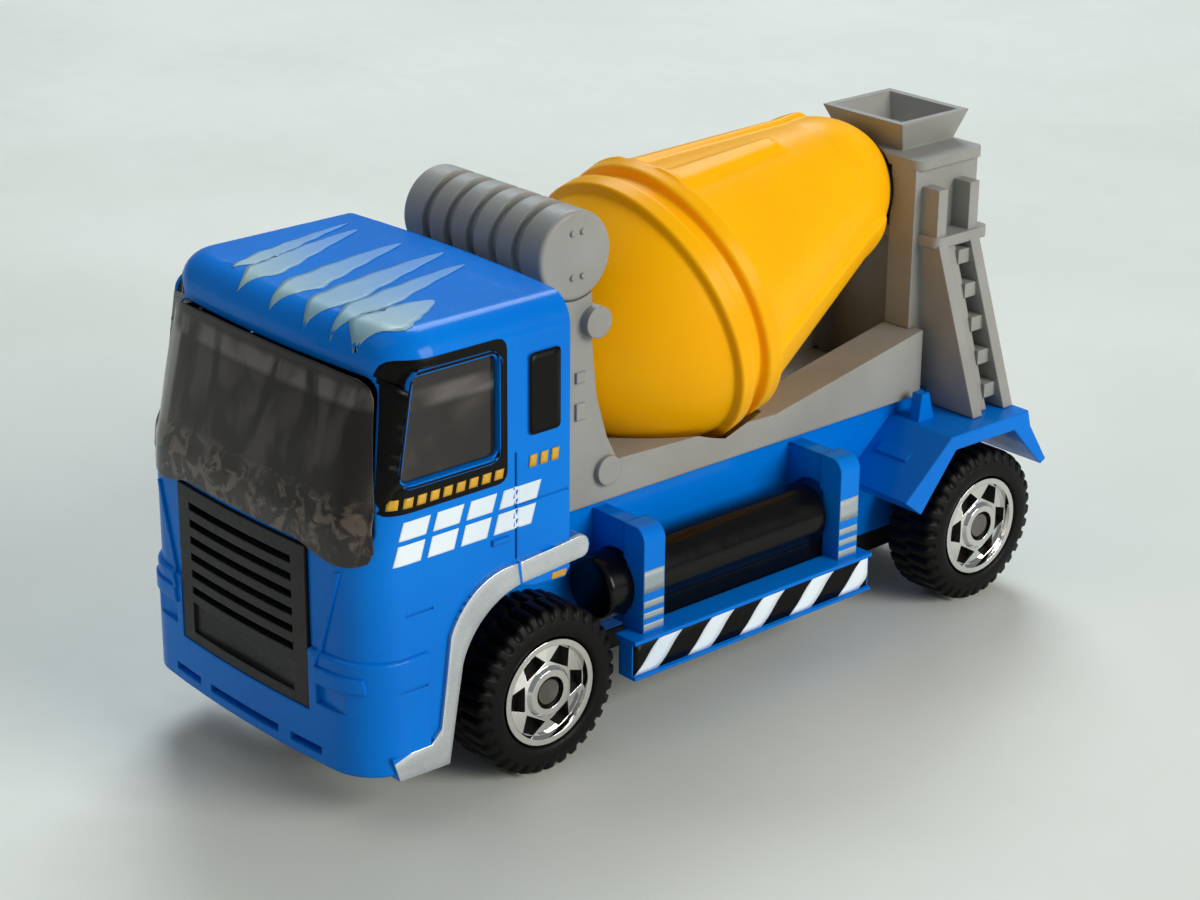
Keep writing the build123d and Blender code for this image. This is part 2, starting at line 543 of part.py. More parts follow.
# ---- rear tower: columns, platforms, ladders and the loading hopper -----------------------------------
rung_count = 5
ladder_top_z = 29.5
deck_z = 15.6 + fit_gap
with BuildPart() as rear_tower:
    # two columns and the bulkhead between them, which carries the rear journal
    box_pair((channel_half_width, column_x), (tower_front_y, tower_front_y + 2.0), (bed_floor_z + wall + fit_gap, tower_top_z - 0.8))
    box((-4.2, 4.2), (tower_front_y + 2.4, tower_front_y + 4.6), (bed_floor_z + fit_gap, tower_top_z - 0.4))
    box_pair((channel_half_width, column_x), (tower_front_y + 0.6, tower_front_y + 7.4), (bed_floor_z + fit_gap, tower_top_z - 0.4))
    box_pair((4.9, 6.0), (tower_front_y + 4.6, tower_front_y + 8.4), (bed_floor_z, tower_top_z - 2), Mode.SUBTRACT)
    # top and middle platforms
    with BuildSketch(Plane.XY.offset(tower_top_z - 0.8)):
        with Locations((0, tower_front_y + 3.95)):
            RectangleRounded(14.0, 7.9, 1.0)
    extrude(amount=0.8)
    with BuildSketch(Plane.XY.offset(ladder_top_z)):
        with Locations((0, tower_front_y + 3.75)):
            RectangleRounded(17.4, 6.3, 0.7)
    extrude(amount=0.9)
    # ladder rails lean back towards the deck and spread outwards
    for rail_y in (tower_front_y + 0.85, tower_front_y + 4.6):
        for side in (1, -1):
            with BuildSketch(Plane.XY.offset(deck_z)):
                with Locations((side * 9.35, rail_y + rail_lean + 0.55)):
                    Rectangle(5.9, 1.1)
            with BuildSketch(Plane.XY.offset(ladder_top_z + 0.2)):
                with Locations((side * 7.55, rail_y + 0.55)):
                    Rectangle(2.3, 1.1)
            loft(ruled=True)
            box(sorted((side * 6.2, side * 8.4)), (rail_y, rail_y + 1.1), (ladder_top_z, 34.3))
    # a recessed web beside the near rail, and rungs from it to the far rail
    for side in (1, -1):
        with BuildSketch(Plane.XY.offset(deck_z)):
            with Locations((side * 8.95, tower_front_y + rail_lean + 2.6)):
                Rectangle(5.1, 1.5)
        with BuildSketch(Plane.XY.offset(ladder_top_z + 0.2)):
            with Locations((side * 7.25, tower_front_y + 2.6)):
                Rectangle(1.7, 1.5)
        loft(ruled=True)
        for index in range(rung_count):
            share = (index + 0.35) / rung_count
            rung_z = deck_z + (ladder_top_z - deck_z) * share
            reach = 11.6 - (11.6 - 8.2) * share
            rung_y = tower_front_y + rail_lean * (1 - share)
            box(sorted((side * 6.2, side * reach)), (rung_y + 3.2, rung_y + 4.8), (rung_z, rung_z + 1.2))
    # the feet stop beside the frame
    box((-frame_x - fit_gap, frame_x + fit_gap), (tower_front_y - 1, rear_y + 1), (0, bed_floor_z + fit_gap), Mode.SUBTRACT)
    # hopper: an open tapered tray
    for inset, mode in ((0, Mode.ADD), (0.65, Mode.SUBTRACT)):
        with BuildSketch(Plane.XY.offset(tower_top_z - 0.1 + inset * 0.8)):
            with Locations((0, (hopper_front_y + hopper_rear_y) / 2 + 0.2)):
                Rectangle(2 * (hopper_half_width - 0.9 - inset), hopper_rear_y - hopper_front_y - 2.0 - 2 * inset)
        with BuildSketch(Plane.XY.offset(hopper_rim_z + inset * 0.02)):
            with Locations((0, (hopper_front_y + hopper_rear_y) / 2)):
                Rectangle(2 * (hopper_half_width - inset), hopper_rear_y - hopper_front_y - 2 * inset)
        loft(ruled=True, mode=mode)
    # space for the drum and the bearing of its rear journal
    add(drum_space, mode=Mode.SUBTRACT)
    with BuildSketch(journal_plane):
        Circle(journal_radius + shaft_gap)
    extrude(amount=dome_tip_s + journal_length + 0.4, mode=Mode.SUBTRACT)
write(rear_tower.part, "rear_tower")

# ---- mixing drum: two shells that meet at the ridges, turning on moulded journals -----------------------
with BuildPart() as drum_front:
    with BuildSketch(drum_section):
        with BuildLine():
            Polyline(
                (ridge_1_s, drum_ridge_radius - 1.6), (ridge_1_s, drum_ridge_radius),
                (ridge_1_s - ridge_width, drum_ridge_radius), (ridge_1_s - ridge_width, drum_ridge_radius - 0.6),
            )
            ThreePointArc((ridge_1_s - ridge_width, drum_ridge_radius - 0.6), (-6.0, bowl_mid_r), (bowl_front_s, bowl_front_r))
            Polyline(
                (bowl_front_s, bowl_front_r), (bowl_front_s, journal_radius), (bowl_front_s - journal_length, journal_radius),
                (bowl_front_s - journal_length, 0), (bowl_front_s + drum_wall, 0), (bowl_front_s + drum_wall, bowl_front_r - 0.3),
            )
            ThreePointArc(
                (bowl_front_s + drum_wall, bowl_front_r - 0.3), (-5.6, bowl_mid_r - drum_wall),
                (ridge_1_s - ridge_width, drum_ridge_radius - 1.6),
            )
            Line((ridge_1_s - ridge_width, drum_ridge_radius - 1.6), (ridge_1_s, drum_ridge_radius - 1.6))
        make_face()
    revolve(axis=drum_axis)
write(drum_front.part, "drum_front")

with BuildPart() as drum_rear:
    seam_s = ridge_1_s + 0.02
    inner_r = cone_start_r - drum_wall
    with BuildSketch(drum_section):
        with BuildLine():
            Polyline(
                (seam_s, inner_r), (seam_s, drum_ridge_radius - ridge_groove), (ridge_2_s - ridge_width, drum_ridge_radius - ridge_groove),
                (ridge_2_s - ridge_width, drum_ridge_radius - 0.05), (ridge_2_s, drum_ridge_radius - 0.05), (ridge_2_s, cone_start_r),
                (cone_end_s, cone_end_r),
            )
            ThreePointArc((cone_end_s, cone_end_r), (dome_mid_s, 4.35), (dome_tip_s, 0))
            Polyline((dome_tip_s, 0), (dome_tip_s - drum_wall, 0))
            ThreePointArc((dome_tip_s - drum_wall, 0), (dome_mid_s - 0.9, 3.7), (cone_end_s, cone_end_r - drum_wall))
            Polyline((cone_end_s, cone_end_r - drum_wall), (ridge_2_s, inner_r), (seam_s, inner_r))
        make_face()
    revolve(axis=drum_axis)
    # raised ribs along the cone
    for centre, width, end_s in [(a, 34, long_rib_end_s) for a in long_ribs] + [(a, 15, short_rib_end_s) for a in short_ribs]:
        turn = radians(centre - width / 2)
        out = drum_section.y_dir * cos(turn) + drum_section.z_dir * sin(turn)
        rib_plane = Plane(origin=drum_section.origin, x_dir=drum_section.x_dir, z_dir=drum_section.x_dir.cross(out))
        cone_slope = (cone_end_r - cone_start_r) / (cone_end_s - ridge_2_s)
        rib_end_r = cone_start_r + cone_slope * (end_s - ridge_2_s)
        with BuildSketch(rib_plane):
            with BuildLine():
                Polyline(
                    (ridge_2_s - 0.2, cone_start_r - 0.4), (ridge_2_s - 0.2, cone_start_r + rib_height),
                    (end_s - 0.2, rib_end_r + rib_height), (end_s, rib_end_r + rib_height - 0.2), (end_s, rib_end_r - 0.7),
                    close=True,
                )
            make_face()
        revolve(axis=drum_axis, revolution_arc=width)
    # rear journal
    with BuildSketch(journal_plane.offset(dome_tip_s - 0.6)):
        Circle(journal_radius)
    extrude(amount=journal_length + 0.6)
write(drum_rear.part, "drum_rear")

# ---- axles and wheels -----------------------------------------------------------------------------------
wheel_tops = {"front": front_axle_y, "rear": rear_axle_y}
for end, axle_y in wheel_tops.items():
    with BuildPart() as axle:
        head_x = wheel_outer_x - hub_recess_depth + 0.08
        rod(axle_radius, (-head_x, head_x), axle_y, wheel_radius)
        rod(axle_head_radius, (head_x, head_x + axle_head_length), axle_y, wheel_radius)
        rod(axle_head_radius, (-head_x - axle_head_length, -head_x), axle_y, wheel_radius)
    write(axle.part, f"{end}_axle")

for end, axle_y in wheel_tops.items():
    for side, hand in ((1, "left"), (-1, "right")):
        # sketches run outwards along the axle in X and away from it in Y
        section = Plane(origin=(0, axle_y, wheel_radius), x_dir=(side, 0, 0), z_dir=(0, -side, 0))
        spin = Axis((0, axle_y, wheel_radius), (1, 0, 0))
        with BuildPart() as tyre:
            with BuildSketch(section):
                with BuildLine():
                    Polyline(
                        (wheel_inner_x, wheel_bore), (wheel_inner_x, wheel_radius - 0.9), (wheel_inner_x + 0.5, wheel_radius),
                        (wheel_outer_x - 0.55, wheel_radius), (wheel_outer_x - 0.1, wheel_radius - 0.7), (wheel_outer_x, rim_radius + 0.6),
                        (wheel_outer_x - 0.15, rim_radius + fit_gap), (wheel_outer_x - rim_depth, rim_radius + fit_gap),
                        (wheel_outer_x - rim_depth, wheel_bore), close=True,
                    )
                make_face()
            revolve(axis=spin)
        write(tyre.part, f"tyre_{end}_{hand}")
        with BuildPart() as rim:
            with BuildSketch(section):
                with BuildLine():
                    Polyline(
                        (wheel_outer_x - rim_depth + 0.02, wheel_bore), (wheel_outer_x - rim_depth + 0.02, rim_radius),
                        (wheel_outer_x - 0.25, rim_radius), (wheel_outer_x - 0.25, rim_radius - 0.45),
                        (wheel_outer_x - 0.7, rim_radius - 0.6), (wheel_outer_x - 0.5, 2.0), (wheel_outer_x - 0.2, 1.75),
                        (wheel_outer_x - 0.2, hub_recess_radius), (wheel_outer_x - hub_recess_depth, hub_recess_radius),
                        (wheel_outer_x - hub_recess_depth, wheel_bore), close=True,
                    )
                make_face()
            revolve(axis=spin)
            window_plane = Plane(origin=(side * (wheel_outer_x + 1), axle_y, wheel_radius), x_dir=(0, 1, 0), z_dir=(-side, 0, 0))
            with BuildSketch(window_plane):
                with PolarLocations(0, spoke_count, start_angle=90 - 180 / spoke_count):
                    with Locations((2.78, 0)):
                        Trapezoid(2.05, 1.3, 70, rotation=-90)
            extrude(amount=1.1 + rim_depth, mode=Mode.SUBTRACT)
        write(rim.part, f"rim_{end}_{hand}")
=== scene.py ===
import bmesh
import bpy
from math import atan2, cos, hypot, pi, radians, sin
from mathutils import Matrix, Vector
from mathutils.bvhtree import BVHTree


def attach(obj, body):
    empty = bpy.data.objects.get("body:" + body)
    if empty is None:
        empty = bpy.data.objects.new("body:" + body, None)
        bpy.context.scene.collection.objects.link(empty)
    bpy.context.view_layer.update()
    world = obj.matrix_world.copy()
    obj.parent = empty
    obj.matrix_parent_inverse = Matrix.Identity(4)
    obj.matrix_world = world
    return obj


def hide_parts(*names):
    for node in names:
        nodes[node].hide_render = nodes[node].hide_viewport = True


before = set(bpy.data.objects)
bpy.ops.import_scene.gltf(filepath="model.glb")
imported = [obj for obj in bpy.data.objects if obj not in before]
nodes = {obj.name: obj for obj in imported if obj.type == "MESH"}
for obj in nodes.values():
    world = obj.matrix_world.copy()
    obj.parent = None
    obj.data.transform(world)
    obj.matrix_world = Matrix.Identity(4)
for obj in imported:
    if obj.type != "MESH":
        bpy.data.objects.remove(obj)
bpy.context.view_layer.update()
MM = 0.001

# ---- Body casting ---------------------------------------------------------------------------------
# Cab shell, frame, posts, skirts and fenders are one zinc die casting. It is sprayed with a glossy
# blue enamel, which rounds every edge and gathers a little in the corners.
patch_grains = 14       # the broad patches of a finish are this many grains wide


def linear(colour):
    """An sRGB hex colour as linear RGBA."""
    parts = [int(colour[i:i + 2], 16) / 255 for i in (1, 3, 5)]
    return [c / 12.92 if c <= 0.04045 else ((c + 0.055) / 1.055) ** 2.4 for c in parts] + [1.0]


def place(tree, kind, inputs=None, **settings):
    """Add a node to a tree, set its properties, and fill or link its inputs."""
    node = tree.nodes.new(kind)
    for key, value in settings.items():
        setattr(node, key, value)
    for key, value in (inputs or {}).items():
        if isinstance(value, bpy.types.NodeSocket):
            tree.links.new(value, node.inputs[key])
        else:
            node.inputs[key].default_value = value
    return node


def finish(name, colour, shade, rough, grain, bump, edge=0.0, **surface):
    """A material. Its colour wanders from colour to shade and its roughness between two values, over
    grains of the given size in mm; bump is the grain's height in mm and edge softens corners by mm."""
    material = bpy.data.materials.new(name)
    material.use_nodes = True
    tree = material.node_tree
    tree.nodes.clear()
    coords = place(tree, "ShaderNodeTexCoord").outputs["Object"]
    broad = place(
        tree, "ShaderNodeTexNoise",
        {"Vector": coords, "Scale": 1 / (grain * patch_grains * MM), "Detail": 3.0},
    )
    fine = place(tree, "ShaderNodeTexNoise", {"Vector": coords, "Scale": 1 / (grain * MM), "Detail": 2.0})
    spread = place(
        tree, "ShaderNodeMapRange", {"Value": broad.outputs[0], "From Min": 0.35, "From Max": 0.65},
    )
    tone = place(
        tree, "ShaderNodeMix", {0: spread.outputs[0], 6: linear(colour), 7: linear(shade)}, data_type="RGBA",
    )
    gloss = place(tree, "ShaderNodeMapRange", {
        "Value": fine.outputs[0], "From Min": 0.3, "From Max": 0.7, "To Min": rough[0], "To Max": rough[1],
    })
    relief = place(
        tree, "ShaderNodeBump", {"Height": fine.outputs[0], "Distance": bump * MM, "Strength": 1.0},
    )
    if edge:
        corner = place(tree, "ShaderNodeBevel", {"Radius": edge * MM}, samples=6)
        tree.links.new(corner.outputs[0], relief.inputs["Normal"])
    shader = place(tree, "ShaderNodeBsdfPrincipled", {
        "Base Color": tone.outputs[2], "Roughness": gloss.outputs[0], "Normal": relief.outputs[0],
    })
    for key, value in surface.items():
        shader.inputs[key.replace("_", " ")].default_value = value
    place(tree, "ShaderNodeOutputMaterial", {"Surface": shader.outputs[0]})
    return material


def coat(node, material):
    """Give a frame node its finish."""
    nodes[node].data.materials.clear()
    nodes[node].data.materials.append(material)


# Baked enamel on a zinc casting: IOR about 1.5, glossy, with the faint orange peel of a thin sprayed
# coat about 1 mm from crest to crest, drawn a little coarser so that it shows.
blue_enamel = finish(
    "blue_enamel_on_zinc", "#0079DC", "#0070D2", (0.2, 0.28), 1.1, 0.008, edge=0.3,
    Coat_Weight=0.15, Coat_Roughness=0.04, IOR=1.5, Specular_IOR_Level=0.05,
)
coat("body_casting", blue_enamel)

# ---- Prints on the casting ------------------------------------------------------------------------
# Pad-printed inks lie on the enamel as films a few hundredths of a millimetre thick: black window
# surrounds, hazard panels, grey bars, small marks and the streaks on the roof.
ray_side = 0.03         # rays that lay a film start here, in metres, well outside the truck
ray_top = 0.06
ray_front = 0.06
film_weld = 2e-06       # film points closer than this, in metres, are one point
sharp_corner = 50       # degrees between faces, from which a film's edge is rounded


def surface_tree(*names):
    """The outer surface of some frame nodes, for laying films on."""
    verts, faces = [], []
    for name in names:
        mesh = nodes[name].data
        start = len(verts)
        verts += [v.co.copy() for v in mesh.vertices]
        faces += [[start + i for i in p.vertices] for p in mesh.polygons]
    return BVHTree.FromPolygons(verts, faces)


def arc(a, b, c, steps=10):
    """Points along the circular arc from a through b to c."""
    (ax, ay), (bx, by), (cx, cy) = a, b, c
    d = 2 * (ax * (by - cy) + bx * (cy - ay) + cx * (ay - by))
    sa, sb, sc = ax * ax + ay * ay, bx * bx + by * by, cx * cx + cy * cy
    ox = (sa * (by - cy) + sb * (cy - ay) + sc * (ay - by)) / d
    oy = (sa * (cx - bx) + sb * (ax - cx) + sc * (bx - ax)) / d
    start, middle, end = (atan2(y - oy, x - ox) for x, y in (a, b, c))
    turn = (end - start) % (2 * pi)
    if (middle - start) % (2 * pi) > turn:
        turn -= 2 * pi
    radius = hypot(ax - ox, ay - oy)
    return [
        (ox + radius * cos(start + turn * i / steps), oy + radius * sin(start + turn * i / steps))
        for i in range(steps + 1)
    ]


def along(points, count):
    """The same line divided into count equal steps."""
    lengths = [0.0]
    for p, q in zip(points, points[1:]):
        lengths.append(lengths[-1] + hypot(q[0] - p[0], q[1] - p[1]))
    result, k = [], 0
    for i in range(count + 1):
        target = lengths[-1] * i / count
        while k < len(points) - 2 and lengths[k + 1] < target:
            k += 1
        share = (target - lengths[k]) / max(lengths[k + 1] - lengths[k], 1e-9)
        share = min(max(share, 0.0), 1.0)
        result.append((
            points[k][0] + (points[k + 1][0] - points[k][0]) * share,
            points[k][1] + (points[k + 1][1] - points[k][1]) * share,
        ))
    return result


def rounded(points, radius, steps=5):
    """A closed outline with every corner rounded."""
    result = []
    for i, point in enumerate(points):
        before, after = Vector(points[i - 1]), Vector(points[(i + 1) % len(points)])
        corner = Vector(point)
        into, out = (before - corner).normalized(), (after - corner).normalized()
        half = into.angle(out) / 2
        reach = min(
            radius / max(sin(half) / cos(half), 0.2), (before - corner).length / 2,
            (after - corner).length / 2,
        )
        start, end = corner + into * reach, corner + out * reach
        for k in range(steps + 1):
            t = k / steps
            result.append(tuple((1 - t) ** 2 * start + 2 * t * (1 - t) * corner + t * t * end))
    return result


def film(
    name, patches, material, body="truck", skin=None, lift=0.02, thick=0.05, across=3, sides=(1, -1),
    facing="x", bevel=0.0,
):
    """One printed or applied layer. Each patch is a pair of lines in mm, (y, z) on the truck's sides,
    (x, y) on its roof or (x, z) on its front; the surface between the lines is laid on the skin."""
    mesh = bpy.data.meshes.new(name)
    bm = bmesh.new()
    for side in sides:
        for first, second in patches:
            rows = []
            for k in range(across + 1):
                share = k / across
                row = []
                for (u1, v1), (u2, v2) in zip(first, second):
                    u, v = (u1 + (u2 - u1) * share) * MM, (v1 + (v2 - v1) * share) * MM
                    if facing == "x":
                        start, ray = Vector((side * ray_side, u, v)), Vector((-side, 0, 0))
                    elif facing == "z":
                        start, ray = Vector((u, v, ray_top)), Vector((0, 0, -1))
                    else:
                        start, ray = Vector((u, -ray_front, v)), Vector((0, 1, 0))
                    hit = skin.ray_cast(start, ray)
                    spot = hit[0] if hit[0] else skin.find_nearest(start)[0]
                    row.append(bm.verts.new(spot - ray * lift * MM))
                rows.append(row)
            outward = -ray
            for lower, upper in zip(rows, rows[1:]):
                for i in range(len(lower) - 1):
                    face = bm.faces.new((lower[i], lower[i + 1], upper[i + 1], upper[i]))
                    face.normal_update()
                    if face.normal.dot(outward) < 0:
                        face.normal_flip()
                    face.smooth = True
    bmesh.ops.remove_doubles(bm, verts=bm.verts, dist=film_weld)
    bm.to_mesh(mesh)
    bm.free()
    piece = bpy.data.objects.new(name, mesh)
    scene.collection.objects.link(piece)
    mesh.materials.append(material)
    wall = piece.modifiers.new("film", "SOLIDIFY")
    wall.thickness = thick * MM
    wall.offset = -1
    if bevel:
        soft = piece.modifiers.new("soft", "BEVEL")
        soft.width = bevel * MM
        soft.segments = 3
        soft.limit_method = "ANGLE"
        soft.angle_limit = radians(sharp_corner)
    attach(piece, body)
    return piece


def box_patch(u, v, slant=0.0, steps=16):
    """A rectangle in u and v whose upper side is moved along by slant."""
    lower = along([(u[0], v[0]), (u[1], v[0])], steps)
    upper = along([(u[0] + slant, v[1]), (u[1] + slant, v[1])], steps)
    return lower, upper


scene = bpy.context.scene
cab_skin = surface_tree("body_casting")

# Inks are acrylic lacquers: IOR about 1.5 and a little duller than the enamel below them.
black_ink = finish(
    "black_pad_print", "#070606", "#0C0B0A", (0.25, 0.36), 0.7, 0.004, IOR=1.5, Specular_IOR_Level=0.12,
)
white_ink = finish("white_pad_print", "#E9F2F8", "#D7E4EE", (0.3, 0.42), 0.7, 0.006, IOR=1.5)
yellow_ink = finish("yellow_pad_print", "#D9A622", "#C4901C", (0.3, 0.42), 0.6, 0.004, IOR=1.5)
grey_ink = finish("silver_grey_pad_print", "#A9B2B6", "#98A3A8", (0.32, 0.44), 0.5, 0.004, Metallic=0.25)

# black surround of the side window, outside the raised bead of the casting
surround_outer = rounded([(-33.3, 24.05), (-22.3, 24.05), (-22.3, 34.65), (-31.6, 34.65)], 0.9)
surround_inner = rounded([(-31.85, 26.0), (-23.0, 26.0), (-23.0, 33.8), (-30.55, 33.8)], 1.0)
surround = (along(surround_outer + surround_outer[:1], 96), along(surround_inner + surround_inner[:1], 96))
film("window_surrounds", [surround], black_ink, skin=cab_skin, lift=0.05, across=14)

# the quarter windows behind the doors are only printed
quarter_outer = rounded([(-20.4, 27.0), (-17.6, 27.0), (-17.6, 33.0), (-20.4, 33.0)], 0.35)
quarter_inner = [(-19.0, 30.0)] * 65
film(
    "quarter_windows", [(along(quarter_outer + quarter_outer[:1], 64), quarter_inner)], black_ink,
    skin=cab_skin, across=4,
)

# hazard panels on the skirts: black with slanted white stripes that bend a little
panel_y, panel_z = (-10.3, 14.8), (5.15, 7.72)
stripe_pitch = 5.42
stripe_width = 2.35
stripe_slant = 2.7
stripe_bend = 0.1
film("hazard_panels", [box_patch(panel_y, panel_z, steps=30)], black_ink, skin=cab_skin, lift=0.012)
stripes = []
for index in range(5):
    foot_y = panel_y[0] + 0.15 + index * stripe_pitch
    lines = []
    for start in (foot_y, foot_y + stripe_width):
        ends = []
        for k in range(9):
            t = k / 8
            bend = stripe_bend * sin(2 * pi * t) + stripe_slant * t
            ends.append((min(start + bend, panel_y[1]), panel_z[0] + (panel_z[1] - panel_z[0]) * t))
        lines.append(ends)
    stripes.append(tuple(lines))
film("hazard_stripes", stripes, white_ink, skin=cab_skin, lift=0.03)

# grey bars on the outer face of each post
bars = []
for post_y in (-8.97, 11.76):
    for low, high in ((11.3, 13.1), (10.1, 10.65), (9.2, 9.72), (8.2, 8.8)):
        bars.append(box_patch((post_y + 0.05, post_y + 2.05), (low, high)))
film("post_bars", bars, grey_ink, skin=cab_skin)

# plain blocks and dashes on the doors, where a toy of this kind carries its lettering
block_slant = 0.45
blocks = []
for left, width in ((-32.1, 2.3), (-29.2, 2.3), (-26.3, 2.3), (-23.4, 3.4)):
    blocks.append(box_patch((left + 0.3, left + width + 0.3), (22.15, 23.45), slant=block_slant))
    blocks.append(box_patch((left - 0.2, left + width - 0.2), (20.35, 21.8), slant=block_slant))
film("door_blocks", blocks, white_ink, skin=cab_skin, lift=0.05, across=12)
dash_pitch = 1.12
dashes = []
for index in range(9):
    dashes.append(
        box_patch(
            (-32.5 + index * dash_pitch, -31.75 + index * dash_pitch), (24.45, 25.15), slant=0.15, steps=3,
        )
    )
for index in range(3):
    dashes.append(box_patch((-20.4 + index * 1.0, -19.75 + index * 1.0), (24.6, 25.5), slant=0.1, steps=3))
film("door_dashes", dashes, yellow_ink, skin=cab_skin, lift=0.08)

# roof streaks: pale grey-green at their ragged front ends, thinning to blue-grey towards the back
streak_ink = finish("roof_streak_print", "#94B2B4", "#6F9DB4", (0.35, 0.5), 0.8, 0.006)
tree = streak_ink.node_tree
shader = next(n for n in tree.nodes if n.type == "BSDF_PRINCIPLED")
tone = next(n for n in tree.nodes if n.type == "MIX")
coords = place(tree, "ShaderNodeTexCoord").outputs["Object"]
station = place(tree, "ShaderNodeSeparateXYZ", {0: coords}).outputs["Y"]
fade = place(tree, "ShaderNodeMapRange", {"Value": station, "From Min": -30.5 * MM, "From Max": -21.0 * MM})
faded = place(
    tree, "ShaderNodeMix", {0: fade.outputs[0], 6: tone.outputs[2], 7: linear("#2C82CF")}, data_type="RGBA",
)
tree.links.new(faded.outputs[2], shader.inputs["Base Color"])
ragged_width = 0.14       # sideways waver of a streak's edges at its front, in mm
ragged_waves = 9          # half waves along its length
streaks = []
for front_x, rear_x, front_y, rear_y, width in (
    (-3.7, -7.9, -31.2, -18.6, 2.9), (-6.4, -9.6, -29.8, -18.2, 1.6), (0.6, -3.2, -31.4, -18.2, 3.2),
    (4.4, 0.5, -31.5, -17.2, 3.4), (7.4, 3.6, -31.3, -17.8, 2.9), (10.0, 8.4, -31.3, -24.4, 5.0),
):
    lines = []
    for edge in (-0.5, 0.5):
        line = []
        for k in range(61):
            t = k / 60
            ragged = ragged_width * sin(ragged_waves * t * pi + edge * 5 + front_x) * (1 - t)
            taper = width * (1 - t) ** 0.6 * (0.3 + 0.7 * min(1.0, 6 * t))
            middle = front_x + (rear_x - front_x) * (1 - (1 - t) ** 1.2)
            line.append((
                middle + edge * taper + ragged, front_y + (rear_y - front_y) * t + edge * 1.6 * (1 - t),
            ))
        lines.append(line)
    streaks.append(tuple(lines))
film("roof_streaks", streaks, streak_ink, skin=cab_skin, sides=(1,), facing="z", lift=0.06, across=8)

# ---- Wheel arch trims -----------------------------------------------------------------------------
# The raised band round each front wheel arch is picked out with silver paint, thick and soft-edged,
# with a joint line above the wheel and a small orange lamp print below its rear end.
silver_paint = finish(
    "silver_paint", "#CDD1D4", "#BBC0C4", (0.26, 0.34), 0.35, 0.0015, Metallic=0.8,
)
upper = [(-15.05, 17.35)] + arc(
    (-15.1, 17.6), (-15.3, 18.1), (-15.85, 18.27), 5,
) + [(-18.5, 18.02), (-21.4, 17.8)]
lower = [(-15.1, 17.0)] + arc(
    (-15.15, 16.85), (-15.35, 16.65), (-15.8, 16.56), 5,
) + [(-18.3, 16.36), (-21.2, 16.15)]
rear_part = (along(upper, 24), along(lower, 24))
upper = arc((-21.65, 17.78), (-25.95, 16.35), (-27.64, 14.0), 14) + [
    (-28.1, 10.6), (-28.57, 7.2), (-29.5, 6.24), (-31.2, 6.24), (-32.9, 6.22),
]
lower = arc((-21.4, 16.12), (-24.45, 14.75), (-26.62, 11.56), 14) + [
    (-27.15, 8.6), (-27.9, 4.2), (-28.6, 4.2), (-30.5, 4.24), (-32.3, 4.28),
]
front_part = (upper, lower)
trim_x = 13.9             # flat face of the arch bands, in mm from the middle
trim_face = []
for side in (1, -1):
    trim_face += [
        Vector((side * trim_x * MM, y * MM, z * MM))
        for y, z in ((-31.0, 3), (-12, 3), (-12, 20), (-31.0, 20))
    ]
casting = nodes["body_casting"].data
trim_skin = BVHTree.FromPolygons(
    trim_face + [v.co.copy() for v in casting.vertices],
    [(0, 1, 2, 3), (4, 5, 6, 7)] + [[8 + i for i in p.vertices] for p in casting.polygons],
)
trim = film(
    "arch_trims", [rear_part, front_part], silver_paint, skin=trim_skin, lift=0.03, thick=0.4, across=4,
    bevel=0.14,
)
lamp = box_patch((-18.3, -17.0), (15.45, 15.95), slant=0.1)
film("side_lamps", [lamp], yellow_ink, skin=cab_skin, lift=0.03, across=4)

# ---- Front corners --------------------------------------------------------------------------------
# Low ridges of the casting, enamelled with it: a brow over each headlamp recess, and a crease that
# runs from the brow up to the corner of the windscreen.
creases = []
for side in (1, -1):
    low_end, high_end = (8.5, 12.3), (10.9, 19.9)
    left = [(side * (low_end[0] - 0.2), low_end[1]), (side * (high_end[0] - 0.2), high_end[1])]
    right = [(side * (low_end[0] + 0.2), low_end[1]), (side * (high_end[0] + 0.2), high_end[1])]
    creases.append((along(left, 24), along(right, 24)))
    creases.append((
        along([(side * 8.3, 11.15), (side * 12.9, 11.15)], 24),
        along([(side * 8.6, 12.3), (side * 12.7, 12.3)], 24),
    ))
corner_ridges = film(
    "corner_ridges", creases, blue_enamel, skin=cab_skin, sides=(1,), facing="y", lift=0.2, thick=0.4,
    across=8, bevel=0.16,
)

# ---- Grille ---------------------------------------------------------------------------------------
# Black moulded plastic insert in the nose, with a fine spark-eroded texture.
grille_black = finish(
    "black_abs_satin", "#1B1917", "#131211", (0.38, 0.5), 0.4, 0.012, edge=0.15, Specular_IOR_Level=0.3,
)
coat("front_grille", grille_black)

# ---- Glazing and interior -------------------------------------------------------------------------
# One clear styrene moulding, tinted with smoke, fills the windscreen and the side windows. Behind it
# is a black moulding with the dashboard, two seats and the steering wheel.
# Smoke-tinted clear styrene: IOR 1.59, smooth outside, dark where the black moulding stands behind it.
smoked_styrene = finish(
    "smoked_clear_styrene", "#C6BFB8", "#B9B2AA", (0.02, 0.05), 2.0, 0.0005,
    Transmission_Weight=1.0, IOR=1.59, Specular_IOR_Level=0.2,
)
coat("cab_glazing", smoked_styrene)

